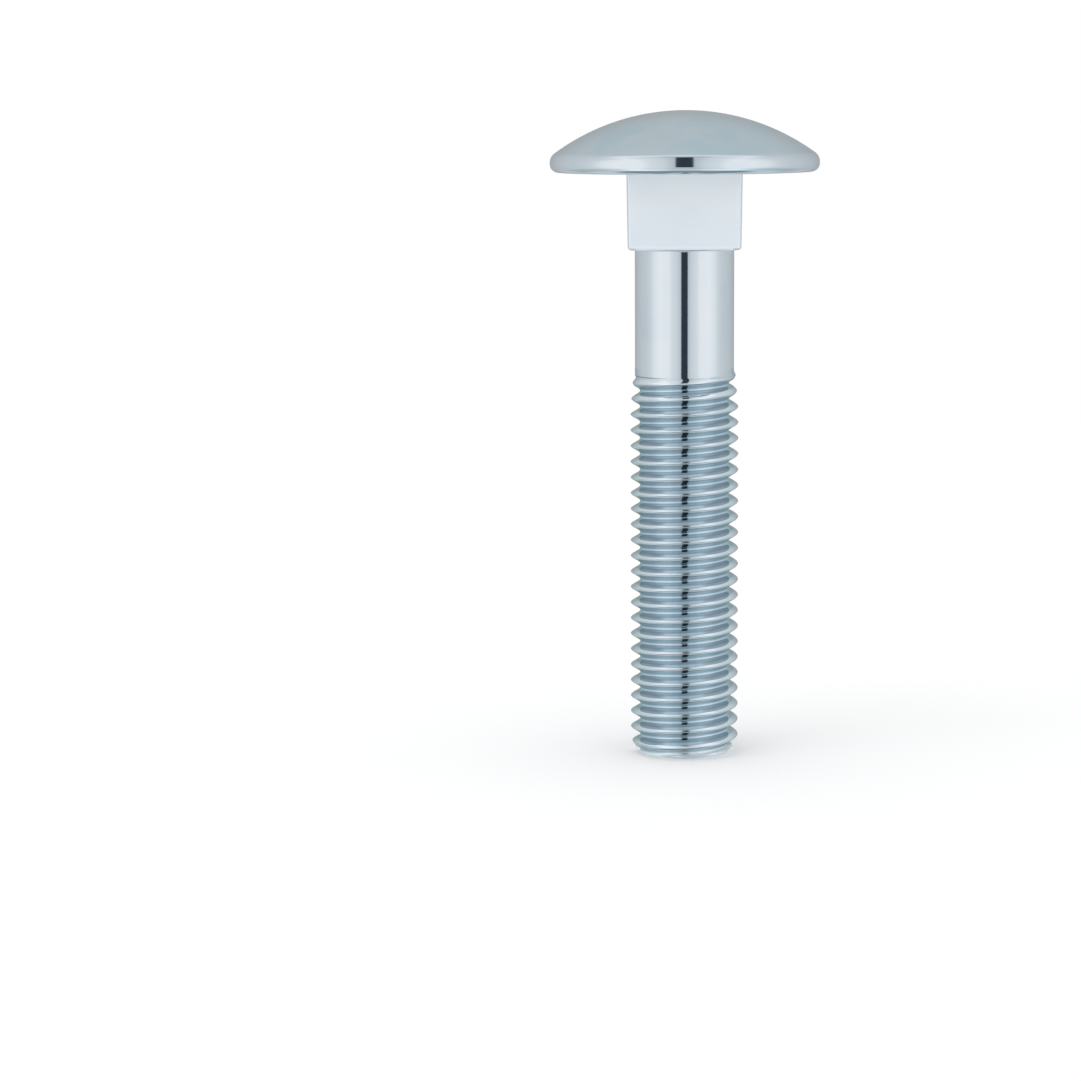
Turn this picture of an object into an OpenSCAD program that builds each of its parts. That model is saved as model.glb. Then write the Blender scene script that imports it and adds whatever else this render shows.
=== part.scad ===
// Carriage bolt with a domed head, a square neck, a plain shank and a rolled metric thread,
// forged in one piece. The origin is the centre of the bearing face under the head: the dome
// rises along +Z, the bolt reaches down along -Z, and two sides of the neck face along X.

/* [Head] */
// Diameter of the head
head_d = 29.5; // [24:0.1:34]
// Height of the head above its bearing face
head_h = 6.7; // [5.5:0.1:9]
// Height at which the dome would meet the outside of the rim if the edge were sharp
rim_h = 1.6; // [1.2:0.05:2.5]
// Radius of the rounded edge between the dome and the rim
rim_round = 0.6; // [0.3:0.05:0.9]
// Radius of the rounded edge under the rim
under_round = 0.6; // [0.3:0.05:0.9]

/* [Neck] */
// Width of the square neck across its flat sides, at the head
neck_w = 12.5; // [12:0.1:15]
// Depth of the square neck under the head
neck_h = 8.3; // [5:0.1:12]
// Draft of each flat side, in degrees, so that the neck is narrower at its lower end
neck_draft = 0.7; // [0.2:0.1:1.2]
// Radius of the four upright corners of the neck
neck_corner = 0.4; // [0.3:0.05:1]
// Radius of the edge round the lower end of the neck
neck_edge = 0.45; // [0.2:0.05:0.5]
// Radius of the fillet between the neck and the shank
neck_fillet = 0.2; // [0.1:0.05:0.3]

/* [Shank] */
// Length of the bolt under its head
bolt_l = 64.4; // [57:0.1:120]
// Diameter of the plain shank
shank_d = 10.9; // [10.4:0.1:11.1]

/* [Thread] */
// Outer diameter of the thread
thread_d = 11.95; // [11.5:0.05:12.5]
// Rise of the thread in one turn, which also sets its depth
pitch = 1.75; // [1.6:0.05:1.9]
// Length of the thread, with its run-out below the plain shank
thread_l = 43; // [10:0.1:52]
// Length of the run-out in which the crests come up to their full height
crest_runout = 4.6; // [1:0.1:8]
// Share of their full height to which the crests bulge up above the edge of the rolling die
first_crest = 0.25; // [0:0.05:0.5]
// Distance of the die's edge, where the groove begins, from the start of the thread
groove_start = 0.85; // [0.3:0.05:2]
// Length of the run-out in which the groove comes down to its full depth
groove_runout = 0.6; // [0.3:0.1:6]
// Fine step from the plain shank down to the thread's first surface
roll_step = 0.03; // [0.02:0.01:0.1]
// Turn of the whole thread about the bolt, in degrees
thread_turn = 320; // [0:1:359]

/* [End] */
// Diameter of the flat end
end_d = 9.5; // [8:0.1:11]
// Height of the rounded lead, in which the crests grow from the flat end
lead_h = 2; // [0.5:0.1:6]

/* [Detail] */
// Flat facets round one turn of the thread
thread_facets = 48; // [24:4:48]

/* [Hidden] */
$fn = 96;

zinc = [0.81, 0.85, 0.88];

head_r = head_d / 2;
shank_r = shank_d / 2;
thread_r = thread_d / 2;
end_r = end_d / 2;

// The dome is part of a ball that passes through its top and the sharp edge of the rim
dome_rise = head_h - rim_h;
dome_r = (head_r * head_r + dome_rise * dome_rise) / (2 * dome_rise);
dome_z = head_h - dome_r;

// Centre of the rounded upper edge, which touches the dome and the rim from inside
round_x = head_r - rim_round;
round_z = dome_z + sqrt(pow(dome_r - rim_round, 2) - round_x * round_x);
round_slope = atan2(round_z - dome_z, round_x);
// The lower edge's rounding is limited by the rim that it lies on
under_r = min(under_round, round_z);

// Sunk into the piece above it, so that the two join in one solid
joint_h = 1;
neck_edge_steps = 4;
neck_slice = 0.01;

// The standard form of a 60 degree thread, as shares of its pitch
thread_depth = 17 / 24 * pitch * sqrt(3) / 2;
root_r = thread_r - thread_depth;
crest_share = 1 / 8;
root_share = 1 / 6;

// Corners of one ridge and groove: height as a share of the pitch, and 1 on the crest or 0 at the root
form = [
    [-crest_share / 2, 1],
    [crest_share / 2, 1],
    [(1 - root_share) / 2, 0],
    [(1 + root_share) / 2, 0]
];
corners = len(form);
// Corners of the form are left out where they would lie nearer than this to either end
end_gap = 0.1;
first_corner = -2 * corners;
last_corner = corners * (ceil(thread_l / pitch) + 2);
column_length = last_corner - first_corner + 1;

function limit(value, low, high) = min(high, max(low, value));

function far_from(centre, angle, reach) = centre + reach * [cos(angle), sin(angle)];

// Section of the head: the dome, the rim and its two rounded edges, joined along lines that
// run through the centres of the rounded edges
module head_section() {
    centre = [round_x, round_z];
    outside = far_from(centre, round_slope, 2 * rim_round);
    intersection() {
        translate([0, dome_z]) circle(dome_r);
        polygon([[0, 0], centre, outside, [outside[0], 2 * head_h], [0, 2 * head_h]]);
    }
    intersection() {
        translate(centre) circle(rim_round);
        polygon([
            centre, far_from(centre, 0, 2 * rim_round),
            [centre[0] + 2 * rim_round, outside[1]], outside
        ]);
    }
    intersection() {
        translate([head_r - under_r, under_r]) circle(under_r);
        translate([head_r - under_r, -under_r]) square(2 * under_r);
    }
    polygon([
        [0, 0], [head_r - under_r, 0], [head_r - under_r, under_r],
        [head_r, under_r], [head_r, round_z], centre
    ]);
}

module head() {
    rotate_extrude() head_section();
}

// One thin slice of the neck, as wide as the draft leaves it, less an inset all round
module neck_slice_at(depth, inset) {
    width = neck_w - 2 * max(0, depth) * tan(neck_draft) - 2 * inset;
    translate([0, 0, -depth])
        linear_extrude(neck_slice)
            offset(r = neck_corner, $fn = 32)
                square(width - 2 * neck_corner, center = true);
}

// Square neck with drafted sides, rounded corners and a rounded edge round its lower end
module neck() {
    hull() {
        neck_slice_at(-joint_h, 0);
        neck_slice_at(0, 0);
        for (step = [0 : neck_edge_steps]) {
            angle = 90 * step / neck_edge_steps;
            neck_slice_at(neck_h - neck_edge * (1 - sin(angle)), neck_edge * (1 - cos(angle)));
        }
    }
}

// Plain shank, with a small fillet under the neck
module shank() {
    fillet_r = shank_r + neck_fillet;
    rotate_extrude() {
        translate([0, thread_l - bolt_l]) square([shank_r, bolt_l - thread_l - neck_h + joint_h]);
        difference() {
            translate([0, -neck_h - neck_fillet]) square([fillet_r, neck_fillet + neck_slice]);
            translate([fillet_r, -neck_h - neck_fillet]) circle(neck_fillet);
        }
    }
}

// Height of a corner of the thread form above the bolt's end, on one column of corners
function corner_z(column, corner) =
    let (turn = floor(corner / corners), place = corner - turn * corners)
    pitch * (turn + form[place][0] + column / thread_facets - thread_turn / 360);

function is_crest(corner) = form[corner - corners * floor(corner / corners)][1] == 1;

// The crests rise along a curve from the flat end
function lead_r(z) = thread_r - (thread_r - end_r) * pow(1 - limit(z / lead_h, 0, 1), 2);

// Crests bulge up as far as the die's edge, then rise to their full height over the run-out
function crest_height(z) =
    first_crest * limit((thread_l - z) / groove_start, 0, 1)
    + (1 - first_crest) * limit((thread_l - z) / crest_runout, 0, 1);

function crest_radius(z) = min(lead_r(z), shank_r + (thread_r - shank_r) * crest_height(z));

function groove_radius(z) =
    shank_r - (shank_r - root_r) * limit((thread_l - z - groove_start) / groove_runout, 0, 1);

// Lowest and highest corners of a column that lie between the two ends
lowest = [for (column = [0 : thread_facets - 1]) min([
    for (corner = [first_corner : last_corner]) if (corner_z(column, corner) > end_gap) corner
])];
highest = [for (column = [0 : thread_facets - 1]) max([
    for (corner = [first_corner : last_corner]) if (corner_z(column, corner) < thread_l - end_gap) corner
])];

// Corners past the lowest or highest one lie on the flat end or on the end of the plain shank
function thread_point(column, corner) =
    let (
        under = corner < lowest[column],
        over = corner > highest[column],
        z = under ? 0 : over ? thread_l : corner_z(column, corner),
        radius = under ? end_r
            : over ? shank_r - roll_step
            : is_crest(corner) ? crest_radius(z) : groove_radius(z)
    )
    concat(far_from([0, 0], 360 * column / thread_facets, radius), z);

// Place of a corner in the list of points. After a whole turn the columns start again from
// the first, one pitch of corners higher.
function point_index(column, corner) =
    let (
        turned = column == thread_facets,
        near = turned ? 0 : column,
        wanted = corner + (turned ? corners : 0)
    )
    near * column_length - first_corner + limit(wanted, lowest[near] - 1, highest[near] + 1);

function is_triangle(face) = face[0] != face[1] && face[1] != face[2] && face[2] != face[0];

module thread() {
    points = [for (column = [0 : thread_facets - 1], corner = [first_corner : last_corner])
        thread_point(column, corner)];
    sides = [for (column = [0 : thread_facets - 1], corner = [first_corner : last_corner - corners - 1])
        let (
            a = point_index(column, corner),
            b = point_index(column, corner + 1),
            c = point_index(column + 1, corner + 1),
            d = point_index(column + 1, corner)
        )
        each [for (face = [[a, b, c], [a, c, d]]) if (is_triangle(face)) face]];
    flat_end = [for (column = [0 : thread_facets - 1]) point_index(column, first_corner)];
    shank_end = [for (column = [thread_facets - 1 : -1 : 0]) point_index(column, last_corner)];
    translate([0, 0, -bolt_l]) polyhedron(points, concat(sides, [flat_end, shank_end]));
}

module bolt() {
    color(zinc) {
        head();
        neck();
        shank();
        thread();
    }
}

bolt();
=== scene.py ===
import math

import bmesh
import bpy
from bpy.props import FloatProperty, FloatVectorProperty, IntProperty, PointerProperty
from mathutils import Euler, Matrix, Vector


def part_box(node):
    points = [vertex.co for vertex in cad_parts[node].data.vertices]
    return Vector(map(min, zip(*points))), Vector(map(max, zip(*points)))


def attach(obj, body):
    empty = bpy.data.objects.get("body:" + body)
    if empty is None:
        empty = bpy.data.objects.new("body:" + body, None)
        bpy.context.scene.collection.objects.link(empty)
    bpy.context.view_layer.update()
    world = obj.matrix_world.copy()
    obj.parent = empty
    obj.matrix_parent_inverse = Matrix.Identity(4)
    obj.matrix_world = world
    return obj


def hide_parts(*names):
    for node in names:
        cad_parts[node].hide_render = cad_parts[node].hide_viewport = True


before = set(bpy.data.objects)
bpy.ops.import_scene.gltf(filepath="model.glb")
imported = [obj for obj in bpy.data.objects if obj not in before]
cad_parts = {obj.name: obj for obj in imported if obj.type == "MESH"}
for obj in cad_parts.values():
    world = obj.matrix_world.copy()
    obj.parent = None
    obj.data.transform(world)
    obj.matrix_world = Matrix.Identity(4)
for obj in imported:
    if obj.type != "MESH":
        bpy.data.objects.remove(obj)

bl_info = {
    "name": "Carriage bolt",
    "version": (1, 0, 0),
    "blender": (4, 5, 0),
    "location": "View3D > Sidebar > Bolt",
    "description": "Builds a domed carriage bolt with a rolled thread, its bright zinc finish and its studio",
    "category": "Add Mesh",
}

MM = 0.001
NODE = "bolt"
BODY = "root"
BOX_LOW, BOX_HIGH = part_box(NODE)
HEAD_RADIUS = min(BOX_HIGH[0], BOX_HIGH[1])
HEAD_HEIGHT = BOX_HIGH[2]
BOLT_LENGTH = -BOX_LOW[2]

WELD = 1e-6

# The surfaces of the bolt, in the order of its material slots
SURFACES = ("dome", "rim", "neck", "shank", "thread", "end")


# Properties

def length_property(name, description, default):
    """A length in metres."""
    return FloatProperty(
        name=name, description=description, default=default, subtype="DISTANCE", unit="LENGTH")


def angle_property(name, description, default):
    """An angle in radians."""
    return FloatProperty(
        name=name, description=description, default=default, subtype="ANGLE", unit="ROTATION")


def share_property(name, description, default):
    """A share or a level from 0 to 1."""
    return FloatProperty(name=name, description=description, default=default, min=0, max=1)


def colour_property(name, description, default):
    """A linear colour."""
    return FloatVectorProperty(
        name=name, description=description, default=default, subtype="COLOR", size=3, min=0, max=1)


class BoltSizes(bpy.types.PropertyGroup):
    """Sizes of the head, neck, shank and end"""
    head_radius: length_property("Head radius", "Radius of the head", HEAD_RADIUS)
    head_height: length_property("Head height", "Height of the dome above the bearing face", HEAD_HEIGHT)
    rim_height: length_property("Rim height", "Height at which the dome would meet a sharp rim", 1.7 * MM)
    rim_round: length_property("Rim rounding", "Radius of the edge between dome and rim", 1.2 * MM)
    under_round: length_property("Under rounding", "Radius of the edge under the rim", 0.9 * MM)
    neck_width: length_property(
        "Neck width", "Width of the square neck across its flats, at the head", 12.5 * MM)
    neck_height: length_property("Neck depth", "Depth of the square neck under the head", 8.3 * MM)
    neck_draft: angle_property("Neck draft", "Lean of each flat side of the neck", math.radians(0.7))
    neck_corner: length_property("Neck corners", "Radius of the neck's upright corners", 0.4 * MM)
    neck_edge: length_property("Neck edge", "Radius of the edge round the neck's lower end", 0.45 * MM)
    neck_fillet: length_property("Neck fillet", "Radius of the fillet between neck and shank", 0.2 * MM)
    bolt_length: length_property("Length", "Length of the bolt under its head", BOLT_LENGTH)
    shank_radius: length_property("Shank radius", "Radius of the plain shank", 5.45 * MM)
    columns: IntProperty(
        name="Columns", description="Faces round the bolt, a multiple of four", default=128, min=32, step=4)


class ThreadSizes(bpy.types.PropertyGroup):
    """Sizes of the rolled thread"""
    crest_radius: length_property("Crest radius", "Radius over the crests", 5.975 * MM)
    pitch: length_property("Pitch", "Rise of the thread in one turn", 1.75 * MM)
    length: length_property("Thread length", "Length of the thread with its run-out", 43.0 * MM)
    crest_runout: length_property(
        "Crest run-out", "Length in which the crests come up to their full height", 4.6 * MM)
    first_crest: share_property(
        "First crest", "Share of their height to which the crests bulge above the die's edge", 0.25)
    groove_start: length_property(
        "Die's edge", "Distance of the groove's beginning from the start of the thread", 0.85 * MM)
    groove_runout: length_property(
        "Groove run-out", "Length in which the groove comes down to its full depth", 0.6 * MM)
    turn: angle_property("Thread turn", "Turn of the whole thread about the bolt", math.radians(320))
    end_radius: length_property("End radius", "Radius of the flat end", 4.75 * MM)
    lead_height: length_property("Lead height", "Height in which the crests grow from the flat end", 2.0 * MM)
    crest_round: length_property("Crest rounding", "How far the crests' two edges are rounded", 0.45 * MM)
    root_round: length_property("Root rounding", "How far the groove's two edges are rounded", 0.4 * MM)
    rows: IntProperty(name="Rows", description="Faces across one pitch", default=22, min=8)


class ZincFinish(bpy.types.PropertyGroup):
    """Colour and gloss of the bright zinc plate, and the painted light and shade of its thread and neck"""
    plate: colour_property("Zinc plate", "Colour of the clean plate", (0.672, 0.722, 0.762))
    clouded: colour_property("Clouded plate", "Colour of the faint bluish clouds", (0.635, 0.70, 0.75))
    dome_plate: colour_property("Dome plate", "Colour of the dome's plate", (0.62, 0.70, 0.735))
    dome_clouded: colour_property("Dome's clouds", "Colour of the dome's faint clouds", (0.55, 0.67, 0.73))
    # Painted light and shade: the neck is painted lighter under the head, against the head's shade, and
    # darker at its foot
    lit_neck_plate: colour_property(
        "Neck plate", "Colour of the neck's frosted plate under the head", (0.93, 0.97, 1.0))
    shaded_neck_foot: colour_property(
        "Neck's foot", "Colour of the neck's frosted plate at its lower end", (0.79, 0.845, 0.905))
    # Painted shade: the thread's lower flanks, which face down, are painted darker than the plate
    lower_flank_shade: colour_property(
        "Lower flanks", "Colour of the thread's duller lower flanks", (0.42, 0.485, 0.53))
    # Painted highlight: the crests are painted brighter than the plate
    crest: colour_property("Thread crests", "Colour of the crests, which rub bright", (0.74, 0.79, 0.83))
    # Painted highlight: the outer part of the upper flanks is painted brighter still
    upper_flank_highlight: colour_property(
        "Upper flanks", "Colour of the brighter outer part of the upper flanks", (0.84, 0.90, 0.94))
    # Painted shade: the groove is painted darker than the plate
    groove: colour_property("Thread groove", "Colour of the thread's groove", (0.575, 0.675, 0.745))
    # Partly painted light: the chamfer is a paler frosted plate, and its colour is also painted bright as
    # light
    chamfer: colour_property(
        "Chamfer", "Colour of the bright chamfer round the flat end", (0.94, 0.975, 1.0))
    thread_edge: colour_property(
        "Thread's edge tint", "Tint of the thread's gloss where it turns from the eye", (0.76, 0.87, 0.88))
    # Painted shade: the fine line left by the die's edge is painted dark, as its shade
    die_line_shade: colour_property(
        "Die line", "Colour of the fine line left by the edge of the rolling die", (0.22, 0.27, 0.31))
    shank_roughness: share_property("Shank roughness", "Roughness of the rolled shank", 0.06)
    rim_roughness: share_property("Rim roughness", "Roughness of the head's rim", 0.07)
    dome_roughness: share_property("Dome roughness", "Roughness of the forged dome", 0.2)
    neck_roughness: share_property("Neck roughness", "Roughness of the forged neck", 0.6)
    neck_metal: share_property("Neck metal", "Share of bare metal gloss in the neck's frosted plate", 0.35)
    thread_roughness: share_property("Thread roughness", "Roughness of the rolled flanks", 0.05)
    crest_roughness: share_property(
        "Crest roughness", "Roughness of the crests, which the roll leaves open", 0.15)
    chamfer_roughness: share_property("Chamfer roughness", "Roughness of the chamfer", 0.3)
    chamfer_metal: share_property("Chamfer metal", "Share of bare metal gloss in the frosted chamfer", 0.6)
    end_roughness: share_property("End roughness", "Roughness of the sheared end", 0.38)


class StudioSettings(bpy.types.PropertyGroup):
    """Camera, floor and lights"""
    camera_distance: length_property(
        "Camera distance", "Distance of the camera in front of the bolt's axis", 350 * MM)
    camera_height: length_property("Camera height", "Height of the camera above the bearing face", 7.8 * MM)
    camera_pitch: angle_property("Camera pitch", "How far the camera looks down", math.radians(7.879))
    camera_yaw: angle_property(
        "Camera yaw", "How far the camera turns left of the bolt", math.radians(2.616))
    camera_roll: angle_property(
        "Camera roll", "Turn of the camera that keeps the bolt upright in the frame", math.radians(-0.325))
    lens: FloatProperty(name="Lens", description="Focal length in millimetres", default=105.84)
    floor_colour: colour_property("Floor", "Colour of the floor", (0.975, 0.978, 0.98))
    tent_light: FloatProperty(
        name="Tent", description="Brightness of the light tent that the plate reflects", default=1.14, min=0)
    sky_light: FloatProperty(
        name="Room light", description="Light of the white room on everything matt", default=1.0, min=0)
    key_power: FloatProperty(
        name="Key lamp", description="Power of the large lamp above, on the left", default=0.9, min=0,
        unit="POWER")


# Small helpers for node trees

def link(tree, value, socket):
    """Links an output to a socket, or sets the socket to a plain value."""
    if isinstance(value, bpy.types.NodeSocket):
        tree.links.new(value, socket)
    else:
        socket.default_value = value


def add_node(tree, kind, inputs=None, **settings):
    """Adds a node with its settings and its inputs, which are given by name or by place."""
    node = tree.nodes.new(kind)
    for name, value in settings.items():
        setattr(node, name, value)
    for name, value in (inputs or {}).items():
        link(tree, value, node.inputs[name])
    return node


def add_math(tree, operation, *values, clamp=False):
    """One step of a formula on numbers."""
    node = add_node(tree, "ShaderNodeMath", operation=operation, use_clamp=clamp)
    for socket, value in zip(node.inputs, values):
        link(tree, value, socket)
    return node.outputs[0]


def add_ramp(tree, value, stops):
    """Carries a value from 0 to 1 through a row of (place, level) stops."""
    ramp = add_node(tree, "ShaderNodeValToRGB", {"Fac": value})
    elements = ramp.color_ramp.elements
    while len(elements) < len(stops):
        elements.new(1.0)
    for element, (place, level) in zip(elements, stops):
        element.position = place
        element.color = (level, level, level, 1.0)
    return ramp.outputs["Color"]


def add_angle_ramp(tree, angle, stops, low=0, high=180):
    """Carries an angle in radians through a row of (degrees, level) stops between two limits."""
    span = high - low
    place = add_math(tree, "DIVIDE", angle, math.radians(span))
    if low:
        place = add_math(tree, "ADD", place, -low / span)
    return add_ramp(tree, place, [((degrees - low) / span, level) for degrees, level in stops])


def add_range(tree, value, low, high, to_low=0.0, to_high=1.0, smooth=True):
    """Carries a value from one range to another and holds it at both ends."""
    node = add_node(
        tree, "ShaderNodeMapRange",
        {"Value": value, "From Min": low, "From Max": high, "To Min": to_low, "To Max": to_high},
        interpolation_type="SMOOTHSTEP" if smooth else "LINEAR")
    return node.outputs["Result"]


# The thread, wound by nodes

# The standard form of a 60 degree thread: height of its sharp ridge as a share of the pitch, the
# share of that height that is left between crest and root, and the part cut off below the root
SHARP_HEIGHT = math.sqrt(3) / 2
DEPTH_SHARE = 17 / 24
ROOT_CUT = 6.0
# Turns wound beyond the thread's own, which are then held at its two ends
SPARE_TURNS = 3

THREAD_INPUTS = {
    **dict.fromkeys((
        "Pitch", "Crest radius", "Shank radius", "Thread length", "Bolt length", "Crest run-out",
        "First crest", "Groove start", "Groove run-out", "Thread turn", "End radius", "Lead height",
        "Crest rounding", "Root rounding", "Weld"), "NodeSocketFloat"),
    **dict.fromkeys(("Columns", "Rows", "Turns"), "NodeSocketInt"),
    "Material": "NodeSocketMaterial",
}


def thread_tree():
    """A strip one pitch wide, wound into a helix, pressed to the thread's form and cut at both ends."""
    tree = bpy.data.node_groups.new("rolled_thread", "GeometryNodeTree")
    for name, kind in THREAD_INPUTS.items():
        tree.interface.new_socket(name, in_out="INPUT", socket_type=kind)
    tree.interface.new_socket("Geometry", in_out="OUTPUT", socket_type="NodeSocketGeometry")
    given = add_node(tree, "NodeGroupInput").outputs

    def math_step(operation, *values, clamp=False):
        return add_math(tree, operation, *values, clamp=clamp)

    # A flat grid whose length is the turns of the helix and whose width is one pitch
    long_side = math_step("ADD", math_step("MULTIPLY", given["Columns"], given["Turns"]), 1)
    short_side = math_step("ADD", given["Rows"], 1)
    grid = add_node(tree, "GeometryNodeMeshGrid", {
        "Size X": 1.0, "Size Y": 1.0, "Vertices X": long_side, "Vertices Y": short_side})
    flat_place = add_node(tree, "GeometryNodeInputPosition").outputs[0]
    place = add_node(tree, "ShaderNodeSeparateXYZ", {0: flat_place})
    turns = math_step("MULTIPLY", math_step("ADD", place.outputs["X"], 0.5), given["Turns"])
    across = math_step("ADD", place.outputs["Y"], 0.5)
    angle = math_step("MULTIPLY", turns, math.tau)

    # Height above the bolt's end, held between the two ends of the thread
    start = math_step("ADD", math_step("DIVIDE", given["Thread turn"], math.tau), 1.0)
    risen = math_step("SUBTRACT", math_step("ADD", turns, across), start)
    raised = math_step("MULTIPLY", risen, given["Pitch"])
    height = math_step("MINIMUM", math_step("MAXIMUM", raised, 0.0), given["Thread length"])

    # Form: a sharp ridge of 60 degrees, cut and rounded at the crest and at the root.
    # The place on the form comes from the held height, so both ends are cut flat.
    wound = math_step("ADD", math_step("DIVIDE", height, given["Pitch"]), math_step("SUBTRACT", start, turns))
    phase = math_step("FRACT", wound)
    ridge = math_step("ABSOLUTE", math_step("SUBTRACT", math_step("MULTIPLY", phase, 2.0), 1.0))
    sharp_height = math_step("MULTIPLY", given["Pitch"], SHARP_HEIGHT)
    depth = math_step("MULTIPLY", sharp_height, DEPTH_SHARE)
    root = math_step("SUBTRACT", given["Crest radius"], depth)
    base = math_step("SUBTRACT", root, math_step("DIVIDE", sharp_height, ROOT_CUT))
    sharp = math_step("ADD", base, math_step("MULTIPLY", ridge, sharp_height))
    crested = math_step("SMOOTH_MIN", sharp, given["Crest radius"], given["Crest rounding"])
    formed = math_step("SMOOTH_MAX", crested, root, given["Root rounding"])

    # Run-out: the crests bulge up as far as the die's edge and rise over their run-out, and the
    # groove begins at that edge
    left = math_step("SUBTRACT", given["Thread length"], height)
    bulge = math_step("DIVIDE", left, given["Groove start"], clamp=True)
    climb = math_step("DIVIDE", left, given["Crest run-out"], clamp=True)
    crest_fade = math_step("ADD", climb, math_step(
        "MULTIPLY", given["First crest"], math_step("SUBTRACT", bulge, climb)))
    past_edge = math_step("SUBTRACT", left, given["Groove start"])
    groove_fade = add_range(tree, past_edge, 0.0, given["Groove run-out"])
    proud = math_step("SUBTRACT", formed, given["Shank radius"])
    crest_part = math_step("MULTIPLY", math_step("MAXIMUM", proud, 0.0), crest_fade)
    groove_part = math_step("MULTIPLY", math_step("MINIMUM", proud, 0.0), groove_fade)
    faded = math_step("ADD", given["Shank radius"], math_step("ADD", crest_part, groove_part))

    # Lead: the crests grow from the flat end along a curve
    to_full = math_step("SUBTRACT", 1.0, math_step("DIVIDE", height, given["Lead height"], clamp=True))
    lead_drop = math_step("MULTIPLY", math_step("SUBTRACT", given["Crest radius"], given["End radius"]),
                          math_step("MULTIPLY", to_full, to_full))
    lead = math_step("SUBTRACT", given["Crest radius"], lead_drop)
    radius = math_step("MINIMUM", faded, lead)

    wrapped = add_node(tree, "ShaderNodeCombineXYZ", {
        "X": math_step("MULTIPLY", radius, math_step("COSINE", angle)),
        "Y": math_step("MULTIPLY", radius, math_step("SINE", angle)),
        "Z": math_step("SUBTRACT", height, given["Bolt length"])})
    pressed = add_node(tree, "GeometryNodeSetPosition", {
        "Geometry": grid.outputs["Mesh"], "Position": wrapped.outputs[0]})
    welded = add_node(tree, "GeometryNodeMergeByDistance", {
        "Geometry": pressed.outputs[0], "Distance": given["Weld"]})
    real = add_node(tree, "GeometryNodeRealizeInstances", {"Geometry": welded.outputs[0]})
    dressed = add_node(tree, "GeometryNodeSetMaterial", {
        "Geometry": real.outputs[0], "Material": given["Material"]})
    add_node(tree, "NodeGroupOutput", {"Geometry": dressed.outputs[0]})
    return tree


def thread_mesh(sizes, thread, material):
    """Winds the thread with its node tree and returns it as a plain mesh."""
    holder = bpy.data.objects.new("thread_holder", bpy.data.meshes.new("thread_holder"))
    bpy.context.scene.collection.objects.link(holder)
    modifier = holder.modifiers.new("Rolled thread", "NODES")
    tree = thread_tree()
    modifier.node_group = tree
    values = {
        "Pitch": thread.pitch,
        "Crest radius": thread.crest_radius,
        "Shank radius": sizes.shank_radius,
        "Thread length": thread.length,
        "Bolt length": sizes.bolt_length,
        "Crest run-out": thread.crest_runout,
        "First crest": thread.first_crest,
        "Groove start": thread.groove_start,
        "Groove run-out": thread.groove_runout,
        "Thread turn": thread.turn,
        "End radius": thread.end_radius,
        "Lead height": thread.lead_height,
        "Crest rounding": thread.crest_round,
        "Root rounding": thread.root_round,
        "Columns": sizes.columns,
        "Rows": thread.rows,
        "Turns": math.ceil(thread.length / thread.pitch) + SPARE_TURNS,
        "Weld": WELD,
        "Material": material,
    }
    for item in tree.interface.items_tree:
        if item.in_out == "INPUT":
            modifier[item.identifier] = values[item.name]
    evaluated = holder.evaluated_get(bpy.context.evaluated_depsgraph_get())
    mesh = bpy.data.meshes.new_from_object(evaluated)
    holder.modifiers.remove(modifier)
    bpy.data.objects.remove(holder)
    return mesh


# The head, neck and shank, built loop by loop from the top down

DOME_STEPS, RIM_STEPS, UNDER_STEPS = 40, 9, 10
EDGE_STEPS, FILLET_STEPS = 8, 6
# Flat faces keep a narrow ring beside each rounding, which keeps their shading flat
FLAT_RING = 0.1 * MM
FOOT_RING = 0.02 * MM
COLUMN_GAP = 0.05 * MM
# The neck's corners shrink with half the inset of its foot, down to a share of their radius
CORNER_SHRINK = 0.5
SMALLEST_CORNER = 0.4
# Edges are shaded sharp above this angle, in degrees
SHARP_ANGLE = 35
# The flat end has one ring of faces as far in as this share of its radius, and a fan inside it
INNER_RING = 0.5


def circle_loop(radius, z, columns):
    """Corners of one level circle."""
    angles = [math.tau * i / columns for i in range(columns)]
    return [Vector((radius * math.cos(angle), radius * math.sin(angle), z)) for angle in angles]


def neck_loop(width, corner, z, columns):
    """Corners of one level square with rounded corners, column by column with the circles.

    Each side takes a quarter of the columns, and a quarter of those lie on its rounded corner.
    """
    half, flat = width / 2, width / 2 - corner
    round_steps = columns // 16
    flat_steps = (columns // 4 - round_steps) // 2
    along = [(flat - COLUMN_GAP) * k / (flat_steps - 1) for k in range(flat_steps)]
    quarter = [(half, step) for step in along]
    for k in range(round_steps):
        angle = math.pi / 2 * k / round_steps
        quarter.append((flat + corner * math.cos(angle), flat + corner * math.sin(angle)))
    quarter.append((flat, half))
    quarter += [(step, half) for step in reversed(along[1:])]
    loop = []
    for turn in range(4):
        for x, y in quarter:
            for _ in range(turn):
                x, y = -y, x
            loop.append(Vector((x, y, z)))
    return loop


def arc(centre_r, centre_z, radius, start, stop, steps):
    """Places (r, z) along an arc, from one angle to another, in degrees, with both ends."""
    angles = [math.radians(start + (stop - start) * k / steps) for k in range(steps + 1)]
    return [(centre_r + radius * math.cos(a), centre_z + radius * math.sin(a)) for a in angles]


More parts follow.
